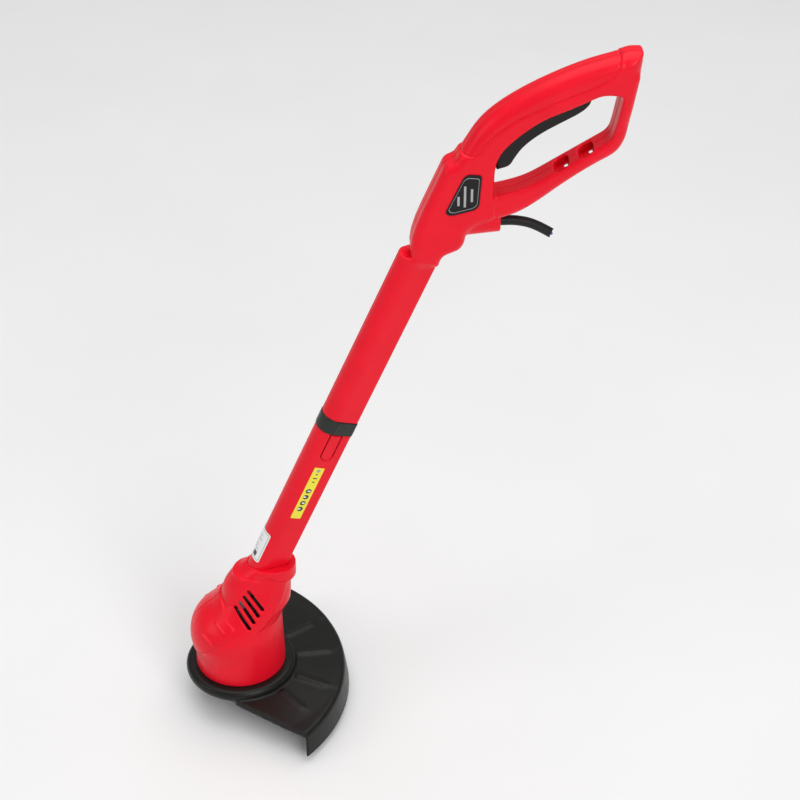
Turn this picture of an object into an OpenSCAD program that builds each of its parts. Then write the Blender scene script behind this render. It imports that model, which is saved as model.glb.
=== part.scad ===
// Corded string trimmer, 0.8 m long, foot of the bump knob at the origin.
// +Z is the spool's axis, +X points to the user, -Y is the user's left.
// Heights marked "above the rim" are counted from the motor head's bottom rim.

/* [Head] */
// Height of the motor head's bottom rim above the foot
rim_z = 50; // [49:1:52]
// Radius of the motor head at its rim
rim_r = 49.3; // [48.5:0.1:50]
// Wall of the moulded casings
wall = 2.5; // [2:0.1:3]

/* [Tube] */
// Lean of the tube from upright, towards the user
tube_lean = 22.7; // [22:0.1:23.5]
// Half width of the tube, the radius of its round front
tube_r = 14.5; // [14:0.1:15]
// Depth of the tube behind the centre of its round front
tube_depth = 24.2; // [24:0.1:25]
// Half width of the tube's flat back
tube_back = 8.1; // [7:0.1:9]
// Distance along the tube to the lower edge of the coupling ring
ring_start = 341.8; // [340:0.1:343]
// Length of the coupling ring
ring_len = 17.2; // [15:0.1:18]

/* [Handle] */
// Half width of the handle
handle_r = 17.5; // [17:0.1:18.5]
// Travel of the trigger in degrees
trigger_turn = 4.5; // [3:0.1:5]

/* [Guard] */
// Radius of the guard's collar
collar_r = 61; // [60:0.5:62]
// Reach of the guard behind the spool's axis
guard_reach = 119.4; // [118:0.1:121]
// Radius of the guard's rear edge
guard_edge_r = 168; // [160:1:175]
// Depth of the guard's skirt below the rim
skirt_drop = 42; // [38:1:44]

/* [Cutting head] */
// Radius of the spool carrier
carrier_r = 36; // [35:0.5:37]
// Radius of the bump knob
knob_r = 20; // [18:0.5:21]
// Reach of the free line end from the spool's axis
line_reach = 109; // [90:1:110]

/* [Cord] */
// Diameter of the mains cord
cord_d = 9.6; // [8:0.1:10]

/* [Hidden] */

RED = [0.80, 0.05, 0.06];
BLACK = [0.06, 0.06, 0.065];
STEEL = [0.62, 0.63, 0.65];
axis_x = -27.9;          // where the tube's front centre line crosses the rim plane
tube_end = 112;          // lower end of the tube inside the neck
spigot_end = 384;        // upper end of the tube's spigot inside the casing
ring_end = ring_start + ring_len;
spigot_cut = 2.7;        // how far the spigot is inset from the tube's outside
fit = 0.06;              // radial running clearance
gap = 0.3;               // clearance between pieces that move apart
plunger_gap = 0.4;       // between the trigger and the switch's plunger at rest

// handle outline seen from the left, [x, height above the rim]
grip_outline = [
    [176, 522], [217.5, 621], [227, 625], [234.5, 638], [248.5, 660], [269, 679.5],
    [300, 699], [341.5, 717], [380, 728], [383, 732], [396.5, 732], [396, 716],
    [391, 685], [383, 645], [377, 634], [358, 620], [332, 602], [305, 580],
    [288, 569], [268, 562], [250, 557], [239, 550], [237.5, 534], [232, 526],
    [217, 519], [210.5, 507.5]];
hand_loop = [
    [264, 589], [285, 594], [300, 600], [322, 614], [371, 645], [375.5, 663],
    [380, 690], [362, 693], [351, 688], [332, 679], [308, 669], [290, 656],
    [275, 642], [268, 632], [264, 618]];
trigger_outline = [
    [266, 614], [278, 618], [282, 626], [290, 638], [306, 651], [324, 661],
    [346, 674], [353, 684], [350, 697], [337, 697], [330, 685], [304, 673],
    [284, 657], [267, 640], [265, 630]];
trigger_slot = [
    [256, 606], [256, 642], [280, 668], [330, 700], [356, 700], [359, 686],
    [352, 670], [330, 650], [300, 625], [290, 606]];
trigger_r = 8.5;
pivot = [342, 691];
// layers of the handle's rounded sides, [half width, inset]
side_steps = [[9, 0], [12.5, 1.4], [15, 3.4], [16.7, 6.2], [handle_r, 9.5]];
screw_places = [[198, 556], [230, 602], [246, 641], [367, 711], [365, 632], [287, 580]];
retainer_places = [[327, 617], [349.5, 631]];  // on the leg's upper face
tube_screw_places = [410, 500];
tube_screw_depth = 15;
badge_outline = [[218, 574], [235, 612], [239, 615], [252, 614], [250, 581], [246, 577], [223, 571]];
switch_at = [296, 666.6];
switch_lean = -38.7;
cord_z = 555;
cord_route = [
    [232, 0, 555], [242, 0, 555], [252, 0, 555], [262, 0, 555], [273, 0, 555],
    [283, 0, 555], [291, 0, 554], [299, 0, 552], [307, 0, 548.5], [314, 0, 544.5],
    [321, 0, 540]];
clamp_x = 241;
supply_route = [
    [232.5, 0, 555], [227, -1, 558], [225, -4, 567], [229, -7, 583], [240, -8, 608],
    [250, -8, 630], [258, -9.5, 645], [265, -10.5, 656], [272, -10.5, 664], [276, -8, 668],
    [278, -5, 672]];
lead_route = [
    [12, 0, 73], [14, 0, 82], [20, 0, 95], [26, 0, 108], [48, 0, 160], [90, 0, 260],
    [131, 0, 360], [173, 0, 460], [199, 0, 520], [222, 3, 570], [240, 7, 610],
    [250, 8, 630], [258, 9.5, 645], [265, 10.5, 656], [272, 10.5, 664], [276, 8, 668],
    [278, 5, 672]];

can_r = 27;
fan_r = 36;
shaft_r = 3;
knob_travel = 5;

// ---------- helpers ----------
module side_cut(thickness) {
    rotate([90, 0, 0])
        linear_extrude(thickness, center = true)
            children();
}

module above_rim() {
    translate([0, 0, rim_z])
        children();
}

module along_tube(distance) {
    translate([axis_x, 0, rim_z])
        rotate([0, tube_lean, 0])
            translate([0, 0, distance])
                children();
}

module tube_section(grow = 0) {
    offset(delta = grow)
        hull() {
            circle(tube_r, $fn = 64);
            for (side = [-1, 1])
                translate([tube_depth - 3, side * (tube_back - 3)])
                    circle(3, $fn = 24);
        }
}

module left_half() {
    intersection() {
        children();
        translate([-300, -300, -10])
            cube([800, 300, 900]);
    }
}

module right_half() {
    intersection() {
        children();
        translate([-300, 0, -10])
            cube([800, 300, 900]);
    }
}

module ring(outer, inner, height) {
    difference() {
        cylinder(height, r = outer, $fn = 64);
        translate([0, 0, -1])
            cylinder(height + 2, r = inner, $fn = 64);
    }
}

module coil_rings(radius, wire, height, count) {
    for (i = [0 : count - 1])
        translate([0, 0, wire + i * (height - 2 * wire) / (count - 1)])
            rotate_extrude($fn = 48)
                translate([radius, 0])
                    circle(wire, $fn = 16);
}

// A screw along +Z with its head at the bottom
module screw(head_r, head_h, shank_r, length) {
    cylinder(head_h, r = head_r, $fn = 32);
    cylinder(length, r = shank_r, $fn = 32);
}

// Smooth route through hand-set points, and a round tube swept along it
function route_point(p, i, t) =
    let (n = len(p), a = p[max(i - 1, 0)], b = p[i], c = p[min(i + 1, n - 1)],
         d = p[min(i + 2, n - 1)])
    0.5 * (2 * b + (c - a) * t + (2 * a - 5 * b + 4 * c - d) * t * t
           + (3 * b - a - 3 * c + d) * t * t * t);
function unit(v) = v / norm(v);

module swept_tube(route, radius, steps, sides) {
    last = len(route) - 1;
    centres = [for (i = [0 : last - 1], k = [0 : steps - 1]) route_point(route, i, k / steps),
               route[last]];
    n = len(centres);
    points = [for (i = [0 : n - 1])
        let (ahead = unit(centres[min(i + 1, n - 1)] - centres[max(i - 1, 0)]),
             across = unit(cross(ahead, [0, 1, 0])),
             up = cross(across, ahead))
        for (k = [0 : sides - 1])
            centres[i] + radius * (cos(360 * k / sides) * across + sin(360 * k / sides) * up)];
    faces = concat(
        [for (i = [0 : n - 2], k = [0 : sides - 1])
            [i * sides + k, i * sides + (k + 1) % sides,
             (i + 1) * sides + (k + 1) % sides, (i + 1) * sides + k]],
        [[for (k = [0 : sides - 1]) sides - 1 - k]],
        [[for (k = [0 : sides - 1]) (n - 1) * sides + k]]);
    polyhedron(points, faces);
}

// ---------- handle ----------
module handle_outline_2d() {
    difference() {
        offset(r = 5)
            offset(delta = -5)
                polygon(grip_outline);
        offset(r = 4)
            offset(delta = -4)
                polygon(hand_loop);
    }
}

module handle_solid() {
    above_rim()
        for (step = side_steps)
            side_cut(2 * step[0])
                offset(delta = -step[1])
                    handle_outline_2d();
    along_tube(ring_end)
        linear_extrude(560 - ring_end)
            tube_section();
    // cord socket under the handle
    translate([232, 0, rim_z + cord_z])
        rotate([0, 90, 0])
            cylinder(40, r = 10.5, $fn = 48);
}

module handle_hollow() {
    above_rim() {
        side_cut(25)
            offset(delta = -4)
                handle_outline_2d();
        side_cut(29.4)
            offset(delta = -9)
                handle_outline_2d();
        side_cut(2 * (trigger_r + 0.5))
            polygon(trigger_slot);
        // pocket for the cord clamp
        translate([clamp_x - 4.5, -12, cord_z - 1])
            cube([9, 24, 12]);
    }
    along_tube(ring_end - 1)
        linear_extrude(200)
            tube_section(-wall);
    // passage of the lead from the tube into the grip
    along_tube(550)
        translate([8.2, 0, 0])
            cylinder(24, r = 3.2, $fn = 32);
    translate([225, 0, rim_z + cord_z])
        rotate([0, 90, 0])
            cylinder(60, r = cord_d / 2 + 0.1, $fn = 48);
}

module screw_posts() {
    above_rim()
        for (place = screw_places)
            translate([place[0], 0, place[1]])
                rotate([90, 0, 0])
                    cylinder(2 * 15.6, r = 4, center = true, $fn = 32);
    for (distance = tube_screw_places)
        along_tube(distance)
            translate([tube_screw_depth, 0, 0])
                rotate([90, 0, 0])
                    cylinder(2 * 9.5, r = 4, center = true, $fn = 32);
    // posts that hold the trigger's pin
    above_rim()
        for (side = [-1, 1])
            translate([pivot[0], side * 12.2, pivot[1]])
                rotate([90, 0, 0])
                    cylinder(6, r = 5, center = true, $fn = 32);
    // seat of the trigger spring
    above_rim()
        translate([315, -6, 701])
            cube([10, 12, 6]);
}

module handle_screw_set(grow = 0) {
    above_rim()
        for (place = screw_places)
            translate([place[0], 15.5, place[1]])
                rotate([90, 0, 0])
                    screw(3.2 + grow, 2.4, 1.6 + grow / 3, 27);
    for (distance = tube_screw_places)
        along_tube(distance)
            translate([tube_screw_depth, 9.5, 0])
                rotate([90, 0, 0])
                    screw(3.2 + grow, 2.4, 1.6 + grow / 3, 17);
}

module screw_mouths() {
    above_rim()
        for (place = screw_places)
            translate([place[0], 24.4, place[1]])
                rotate([90, 0, 0])
                    cylinder(9, r = 3.5, $fn = 32);
    for (distance = tube_screw_places)
        along_tube(distance)
            translate([tube_screw_depth, 18.4, 0])
                rotate([90, 0, 0])
                    cylinder(9, r = 3.5, $fn = 32);
}

module handle_full() {
    difference() {
        union() {
            difference() {
                handle_solid();
                handle_hollow();
            }
            intersection() {
                screw_posts();
                handle_solid();
            }
        }
        handle_screw_set(0.1);
        screw_mouths();
        above_rim()
            translate([pivot[0], 0, pivot[1]])
                rotate([90, 0, 0])
                    cylinder(28, r = 2.5, center = true, $fn = 32);
        retainer_cuts();
    }
}

// Two cord retainers in the lower leg: an open pocket with a slot through
module retainer_cuts() {
    above_rim()
        for (place = retainer_places)
            translate([place[0], 0, place[1]])
                rotate([0, -32, 0]) {
                    translate([-8, -13, -7])
                        cube([16, 26, 20]);
                    translate([1.5, 0.5, -30])
                        cube([5, 4.5, 40]);
                }
}

module handle_shell_left() {
    color(RED)
        left_half()
            handle_full();
}

module handle_shell_right() {
    color(RED)
        right_half()
            handle_full();
}

module handle_screws() {
    color(STEEL)
        handle_screw_set();
}

module trigger() {
    color(BLACK)
        above_rim()
            difference() {
                side_cut(2 * trigger_r)
                    offset(r = 1.5)
                        offset(delta = -1.5)
                            polygon(trigger_outline);
                translate([pivot[0], 0, pivot[1]])
                    rotate([90, 0, 0])
                        cylinder(40, r = 2.5 + fit, center = true, $fn = 32);
            }
}

module trigger_pin() {
    color(STEEL)
        above_rim()
            translate([pivot[0], 0, pivot[1]])
                rotate([90, 0, 0])
                    cylinder(27, r = 2.5, center = true, $fn = 32);
}

module trigger_spring() {
    color(STEEL)
        above_rim()
            translate([320, 0, 683])
                coil_rings(3.4, 0.5, 17.7, 7);
}

module at_switch() {
    above_rim()
        translate([switch_at[0], 0, switch_at[1]])
            rotate([0, switch_lean, 0])
                children();
}

module switch_body() {
    color(BLACK)
        at_switch()
            difference() {
                translate([-12, -8, 8])
                    cube([24, 16, 11.5]);
                translate([0, 0, 7])
                    cylinder(10, r = 2.5 + fit, $fn = 32);
            }
}

module switch_plunger() {
    color([0.85, 0.85, 0.82])
        at_switch() {
            translate([0, 0, plunger_gap])
                cylinder(2, r = 4, $fn = 32);
            translate([0, 0, plunger_gap])
                cylinder(11.6, r = 2.5, $fn = 32);
        }
}

module capacitor() {
    color([0.85, 0.65, 0.1])
        above_rim()
            translate([208, -4, 574])
                rotate([0, tube_lean, 0])
                    cube([9, 8, 20]);
}

module cord_clamp() {
    color(BLACK)
        above_rim()
            translate([clamp_x, 0, cord_z])
                difference() {
                    translate([-4, -11.5, -0.7])
                        cube([8, 23, 8]);
                    rotate([0, 90, 0])
                        cylinder(20, r = cord_d / 2, center = true, $fn = 48);
                    for (side = [-1, 1])
                        translate([0, side * 8.5, -5])
                            cylinder(20, r = 1.4, $fn = 32);
                }
}

module clamp_screws() {
    color(STEEL)
        above_rim()
            for (side = [-1, 1])
                translate([clamp_x, side * 8.5, cord_z + 9.3])
                    mirror([0, 0, 1])
                        screw(2.6, 2, 1.4, 12.5);
}

module mains_cord() {
    color(BLACK)
        above_rim()
            swept_tube(cord_route, cord_d / 2, 1, 12);
}

module supply_lead() {
    color([0.15, 0.25, 0.7])
        above_rim()
            swept_tube(supply_route, 1.5, 3, 8);
}

module inner_lead() {
    color([0.1, 0.1, 0.1])
        above_rim()
            swept_tube(lead_route, 1.8, 4, 8);
}

module badge_plate() {
    color(BLACK)
        above_rim()
            translate([0, -handle_r - 0.3, 0])
                side_cut(0.6)
                    offset(r = 2)
                        offset(delta = -2)
                            polygon(badge_outline);
}

// ---------- tube ----------
module coupling_ring() {
    color(BLACK)
        along_tube(ring_start)
            difference() {
                linear_extrude(ring_len)
                    tube_section(0.9);
                translate([0, 0, -1])
                    linear_extrude(ring_len + 2)
                        tube_section(-spigot_cut);
            }
}

tab_start = 308;
tab_x = 2.5;
tab_w = 11.5;
hinge_place = 338.3;      // distance along the tube to the tab's hinge

module tab_outline(grow) {
    // seen from the left, x across and y along the tube
    offset(delta = grow)
        union() {
            translate([tab_x + tab_w / 2, tab_start + tab_w / 2])
                circle(tab_w / 2, $fn = 48);
            translate([tab_x, tab_start + tab_w / 2])
                square([tab_w, ring_start - 1.5 - tab_start - tab_w / 2]);
        }
}

module tab_zone(grow) {
    along_tube(0)
        rotate([90, 0, 0])
            linear_extrude(20)
                tab_outline(grow);
}

module lower_tube() {
    color(RED)
        difference() {
            union() {
                along_tube(tube_end)
                    linear_extrude(ring_start - tube_end)
                        tube_section();
                along_tube(ring_start - 1)
                    linear_extrude(spigot_end - ring_start + 1)
                        tube_section(-spigot_cut);
            }
            along_tube(tube_end - 1)
                linear_extrude(spigot_end - tube_end + 2)
                    tube_section(-spigot_cut - 2);
            along_tube(tube_end - 1)
                linear_extrude(180)
                    tube_section(-wall);
            tab_zone(0.6);
        }
}

module latch_tab() {
    color(RED) {
        // round bead that the tab turns on
        along_tube(hinge_place)
            translate([tab_x + 0.8, -11.2, 0])
                rotate([0, 90, 0])
                    cylinder(4.6, r = 1.4, $fn = 32);
        intersection() {
            tab_zone(0);
            along_tube(tab_start - 1)
                difference() {
                    linear_extrude(ring_start - tab_start)
                        tube_section();
                    translate([0, 0, -1])
                        linear_extrude(60)
                            tube_section(-2.4);
                }
        }
    }
}

module tube_skin(low_x, high_x, low_y, high_y) {
    intersection() {
        difference() {
            tube_section(0.25);
            tube_section();
        }
        translate([low_x, low_y])
            square([high_x - low_x, high_y - low_y]);
    }
}

module side_sticker() {
    color([0.95, 0.8, 0.1])
        along_tube(226)
            linear_extrude(71)
                tube_skin(2, 13, -20, 0);
}

module front_sticker() {
    color([0.9, 0.9, 0.9])
        along_tube(154)
            linear_extrude(40)
                tube_skin(-20, -6.8, -20, 20);
}

// ---------- motor head ----------
module head_solid(inset) {
    // cone over the rim
    translate([0, 0, rim_z])
        cylinder(58 - inset, r1 = rim_r - inset, r2 = 47.5 - inset, $fn = 64);
    // round front
    translate([-10, 0, rim_z + 42])
        sphere(42 - inset, $fn = 64);
    // slanted body that rises to the neck
    hull() {
        translate([0, 0, rim_z + 36])
            cylinder(8, r = 46.6 - inset, $fn = 48);
        for (place = [[14, 24], [35, 24]])
            translate([place[0], 0, rim_z + 112])
                cylinder(8 - inset, r = place[1] - inset, $fn = 48);
    }
    // neck collar with its cowl towards the front
    hull() {
        for (place = [[26, 21], [43, 19.5]])
            translate([place[0], 0, rim_z + 122 + inset])
                cylinder(15 - 2 * inset, r = place[1] - inset, $fn = 48);
        translate([9, 0, rim_z + 104 + inset])
            cylinder(6, r = 19.5 - inset, $fn = 48);
    }
}

vent_start = [13.5, 114];
module vents() {
    above_rim()
        for (i = [0 : 3])
            translate([vent_start[0] - 4.83 * i, 0, vent_start[1] - 6.4 * i])
                rotate([0, 54, 0])
                    for (side = [-1, 1])
                        translate([0, side * 35 - 15, -1.5])
                            cube([24, 30, 3]);
}

head_posts = [[41.5, 34], [-42, 34]];

module head_post_set(radius, length) {
    above_rim()
        for (place = head_posts)
            translate([place[0], 0, place[1]])
                rotate([90, 0, 0])
                    cylinder(length, r = radius, center = true, $fn = 32);
}

module head_screw_set(grow = 0) {
    above_rim()
        for (place = head_posts)
            translate([place[0], 13, place[1]])
                rotate([90, 0, 0])
                    screw(3.2 + grow, 2.4, 1.6 + grow / 3, 24);
}

module head_full() {
    difference() {
        union() {
            difference() {
                head_solid(0);
                intersection() {
                    head_solid(wall);
                    translate([-100, -100, rim_z + 3])
                        cube([200, 200, 200]);
                }
                vents();
            }
            intersection() {
                head_solid(0.5);
                union() {
                    head_post_set(4, 60);
                    // ribs that hold the motor
                    for (height = [30, 56])
                        translate([0, 0, rim_z + height])
                            cylinder(3, r = 60, $fn = 64);
                    for (turn = [60, 180, 300])
                        rotate([0, 0, turn])
                            translate([42, 0, rim_z + 1])
                                cylinder(8, r = 3.6, $fn = 32);
                }
            }
        }
        cylinder(200, r = 16, $fn = 64);
        translate([0, 0, rim_z + 10])
            cylinder(69, r = can_r, $fn = 64);
        head_screw_set(0.1);
        above_rim()
            for (place = head_posts)
                translate([place[0], 40, place[1]])
                    rotate([90, 0, 0])
                        cylinder(27, r = 3.6, $fn = 32);
        guard_screw_set(0);
        along_tube(tube_end - 12)
            linear_extrude(80)
                tube_section(0.02);
    }
}

module head_shell_left() {
    color(RED)
        left_half()
            head_full();
}

module head_shell_right() {
    color(RED)
        right_half()
            head_full();
}

module head_screws() {
    color(STEEL)
        head_screw_set();
}

// ---------- motor ----------
module motor_can() {
    color([0.7, 0.7, 0.72]) {
        translate([0, 0, 70])
            ring(can_r, can_r - 1.5, 48);
        translate([0, 0, 68])
            ring(can_r, 8, 2.5);
    }
}

module field_magnets() {
    color([0.2, 0.2, 0.22])
        translate([0, 0, 76])
            difference() {
                ring(can_r - 1.5, 21.5, 32);
                for (side = [-1, 1])
                    translate([-6, side * 24 - 12, -1])
                        cube([12, 24, 40]);
            }
}

module motor_end_cap() {
    color([0.12, 0.12, 0.13])
        difference() {
            union() {
                translate([0, 0, 118])
                    cylinder(4, r = can_r, $fn = 64);
                for (side = [-1, 1])
                    translate([-4.5, side * 17 - 6, 109])
                        cube([9, 12, 9.5]);
            }
            translate([0, 0, 100])
                cylinder(40, r = 8, $fn = 64);
            for (side = [-1, 1])
                translate([-2.5, side * 17 - 7, 111])
                    cube([5, 14, 5]);
        }
}

module brushes() {
    color([0.15, 0.15, 0.15])
        for (side = [-1, 1])
            translate([-2.5, side * 15 - 5.8, 111])
                cube([5, 11.6, 5]);
}

module lower_bearing() {
    color(STEEL)
        translate([0, 0, 66])
            ring(8, shaft_r + fit, 6);
}

module upper_bearing() {
    color(STEEL)
        translate([0, 0, 118])
            ring(8, shaft_r + fit, 6);
}

module motor_shaft() {
    color(STEEL)
        translate([0, 0, 42])
            cylinder(84, r = shaft_r, $fn = 48);
}

module armature_core() {
    color([0.45, 0.46, 0.48])
        translate([0, 0, 79])
            difference() {
                ring(20.8, shaft_r, 24);
                for (turn = [0 : 30 : 330])
                    rotate([0, 0, turn])
                        translate([18, -1, -1])
                            cube([10, 2, 26]);
            }
}

module armature_windings() {
    color([0.72, 0.35, 0.12])
        for (base = [74.5, 103])
            translate([0, 0, base])
                ring(17.5, 7, 4.5);
}

module commutator() {
    color([0.75, 0.45, 0.2])
        translate([0, 0, 108.5])
            ring(9, shaft_r, 8.5);
}

module cooling_fan() {
    color([0.1, 0.1, 0.11])
        translate([0, 0, 56])
            difference() {
                union() {
                    cylinder(2, r = fan_r, $fn = 64);
                    cylinder(8, r = 7, $fn = 48);
                    for (turn = [0 : 40 : 320])
                        rotate([0, 0, turn])
                            translate([6, -0.8, 0])
                                cube([fan_r - 7, 1.6, 8]);
                }
                translate([0, 0, -1])
                    cylinder(12, r = shaft_r, $fn = 48);
            }
}

// ---------- guard ----------
guard_back_x = guard_reach - guard_edge_r;
fan_drop = 14;            // underside of the fan below the rim

module guard_fan(inset) {
    intersection() {
        translate([guard_back_x, 0])
            circle(guard_edge_r - inset, $fn = 180);
        polygon([[-5, -collar_r], [76, -113], [130, -147.7], [130, 240], [-5, collar_r]]);
    }
}

module guard() {
    color(BLACK)
        above_rim()
            difference() {
                union() {
                    translate([0, 0, -fan_drop])
                        cylinder(fan_drop, r = collar_r, $fn = 96);
                    translate([0, 0, -fan_drop])
                        linear_extrude(wall)
                            difference() {
                                guard_fan(0);
                                circle(collar_r - 5, $fn = 96);
                            }
                    translate([0, 0, -skirt_drop])
                        linear_extrude(skirt_drop - fan_drop + 1)
                            difference() {
                                guard_fan(0);
                                guard_fan(wall);
                            }
                }
                translate([0, 0, -20])
                    cylinder(20 - wall, r = collar_r - wall, $fn = 96);
                translate([0, 0, -20])
                    cylinder(40, r = 18, $fn = 64);
                translate([0, 0, -rim_z]) {
                    guard_screw_set(0);
                    blade_screw_shape();
                }
            }
}

module guard_screw_set(grow) {
    for (turn = [60, 180, 300])
        rotate([0, 0, turn])
            translate([42, 0, rim_z - wall - 2.2])
                screw(3.4 + grow, 2.2, 1.6 + grow, 12);
}

module guard_screws() {
    color(STEEL)
        guard_screw_set(0);
}

blade_turn = -38;
blade_skew = 10.4;        // the skirt's own direction there, from the radius
blade_r = 122;
blade_z = 27.4;           // the blade is level with the free line
blade_t = 1.2;

module at_blade() {
    rotate([0, 0, blade_turn])
        translate([blade_r, 0, blade_z])
            rotate([0, 0, blade_skew])
                children();
}

module cutter_blade() {
    color(STEEL)
        difference() {
            union() {
                intersection() {
                    at_blade()
                        translate([-10.8, -7, 0])
                            cube([16, 14, blade_t]);
                    linear_extrude(60)
                        guard_fan(wall);
                }
                // flange flat on the skirt
                intersection() {
                    at_blade()
                        translate([-4, -7, -7])
                            cube([10, 14, 7.5]);
                    linear_extrude(60)
                        difference() {
                            guard_fan(wall);
                            guard_fan(wall + blade_t);
                        }
                }
            }
            blade_screw_shape();
        }
}

module blade_screw_shape() {
    at_blade()
        translate([-0.6, 0, -4])
            rotate([0, 90, 0])
                screw(2.6, 1.8, 1.5, 4.6);
}

module blade_screw() {
    color(STEEL)
        blade_screw_shape();
}

// ---------- cutting head ----------
module spool_carrier() {
    color([0.1, 0.1, 0.11])
        difference() {
            union() {
                translate([0, 0, 40])
                    cylinder(4, r = carrier_r, $fn = 96);
                translate([0, 0, 24])
                    ring(carrier_r, carrier_r - 3, 17);
                translate([0, 0, 43])
                    cylinder(12, r = 8, $fn = 48);
            }
            translate([0, 0, 42])
                cylinder(20, r = shaft_r, $fn = 48);
            translate([carrier_r - 10, 0, 28])
                rotate([0, 90, 0])
                    cylinder(20, r = 2.2, $fn = 32);
        }
}

module line_eyelet() {
    color(STEEL)
        translate([0, 0, 28])
            rotate([0, 90, 0])
                difference() {
                    union() {
                        translate([0, 0, carrier_r - 3.6])
                            cylinder(4.2, r = 2.2, $fn = 32);
                        translate([0, 0, carrier_r])
                            cylinder(1, r = 3.6, $fn = 32);
                    }
                    cylinder(60, r = 0.85, $fn = 24);
                }
}

module line_end() {
    color([0.85, 0.3, 0.1])
        translate([carrier_r - 4.2, 0, 28])
            rotate([0, 90, 0])
                cylinder(line_reach - carrier_r + 4.2, r = 0.8, $fn = 24);
}

module spool_cap() {
    color([0.1, 0.1, 0.11]) {
        translate([0, 0, 12.5])
            ring(34, knob_r + gap, 2);
        translate([0, 0, 13])
            ring(carrier_r, 32.5, 11);
    }
}

module bump_knob() {
    color([0.1, 0.1, 0.11]) {
        cylinder(4, r1 = knob_r - 4, r2 = knob_r, $fn = 64);
        translate([0, 0, 4])
            cylinder(11, r = knob_r, $fn = 64);
        translate([0, 0, 14.8])
            cylinder(2, r = knob_r + 2, $fn = 64);
        translate([0, 0, 16])
            cylinder(7.6, r = 6, $fn = 48);
    }
}

module line_spool() {
    color([0.13, 0.13, 0.14])
        difference() {
            union() {
                translate([0, 0, 17.1])
                    cylinder(1.8, r = 30.5, $fn = 96);
                translate([0, 0, 17.1])
                    cylinder(16.9, r = 13, $fn = 64);
                translate([0, 0, 32.2])
                    cylinder(1.8, r = 30.5, $fn = 96);
            }
            translate([0, 0, 10])
                cylinder(20, r = 6 + fit, $fn = 48);
            translate([0, 0, 24])
                cylinder(20, r = 10, $fn = 48);
        }
}

module wound_line() {
    color([0.85, 0.3, 0.1])
        translate([0, 0, 19])
            ring(26, 13, 13.1);
}

module spool_spring() {
    color(STEEL)
        translate([0, 0, 24.1])
            coil_rings(8.2, 0.6, 15.8, 6);
}

handle_shell_left();
handle_shell_right();
handle_screws();
trigger();
trigger_pin();
trigger_spring();
switch_body();
switch_plunger();
capacitor();
cord_clamp();
clamp_screws();
mains_cord();
supply_lead();
badge_plate();
coupling_ring();
lower_tube();
latch_tab();
inner_lead();
side_sticker();
front_sticker();
head_shell_left();
head_shell_right();
head_screws();
motor_can();
field_magnets();
motor_end_cap();
brushes();
lower_bearing();
upper_bearing();
motor_shaft();
armature_core();
armature_windings();
commutator();
cooling_fan();
guard();
guard_screws();
cutter_blade();
blade_screw();
spool_carrier();
line_eyelet();
line_end();
spool_cap();
bump_knob();
line_spool();
wound_line();
spool_spring();
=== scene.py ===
"""Looks of a corded string trimmer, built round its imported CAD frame.

Lengths inside the shape functions are millimetres, with heights counted from the motor head's
bottom rim; TO_FRAME turns them into the frame's metres.
The moulded casings are distance fields on a grid, turned into closed meshes.
"""
import math

import bpy
import bmesh
import numpy as np
import openvdb
from mathutils import Matrix, Vector


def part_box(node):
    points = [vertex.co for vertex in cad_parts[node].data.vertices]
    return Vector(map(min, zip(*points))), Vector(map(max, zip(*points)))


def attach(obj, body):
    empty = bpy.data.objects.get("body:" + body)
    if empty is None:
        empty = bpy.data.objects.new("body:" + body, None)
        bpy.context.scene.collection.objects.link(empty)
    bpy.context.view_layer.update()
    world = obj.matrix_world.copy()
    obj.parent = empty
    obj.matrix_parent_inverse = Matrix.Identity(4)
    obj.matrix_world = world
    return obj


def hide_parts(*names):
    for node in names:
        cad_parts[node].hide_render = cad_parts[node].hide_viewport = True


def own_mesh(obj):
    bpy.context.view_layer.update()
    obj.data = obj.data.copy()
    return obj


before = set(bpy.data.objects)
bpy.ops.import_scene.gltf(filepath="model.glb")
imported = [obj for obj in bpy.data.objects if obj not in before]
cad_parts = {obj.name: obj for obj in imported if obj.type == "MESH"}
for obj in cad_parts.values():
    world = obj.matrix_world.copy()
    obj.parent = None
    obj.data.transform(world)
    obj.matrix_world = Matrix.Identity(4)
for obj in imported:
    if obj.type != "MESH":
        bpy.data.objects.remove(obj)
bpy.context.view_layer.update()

# -------------------- driving sizes
MM = 0.001
RIM_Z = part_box("head_shell_left")[0][2] / MM  # head's bottom rim above the foot
LEAN = math.radians(22.7)  # tube's lean towards the user
AXIS_X = -27.9  # tube's front centre line at the rim plane
TUBE_R = 14.5
TUBE_BACK = (21.2, 5.1, 3.0)  # place and radius of the tube's back corners
RING_START, RING_END = 341.8, 359.0
TUBE_START, SPIGOT_END = 112.0, 384.0
SPIGOT_INSET = 2.7
HANDLE_R = 17.5
WALL = 2.5
CORD_R, CORD_Z = 4.8, 555.0  # the cord's radius and its exit's height
FINE = 0.8  # grid step of the casings

FROM_FOOT = Matrix.Scale(MM, 4)
TO_FRAME = Matrix.Translation((0, 0, RIM_Z * MM)) @ Matrix.Scale(MM, 4)
ALONG_TUBE = (TO_FRAME @ Matrix.Translation((AXIS_X, 0, 0))
              @ Matrix.Rotation(LEAN, 4, "Y"))

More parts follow.
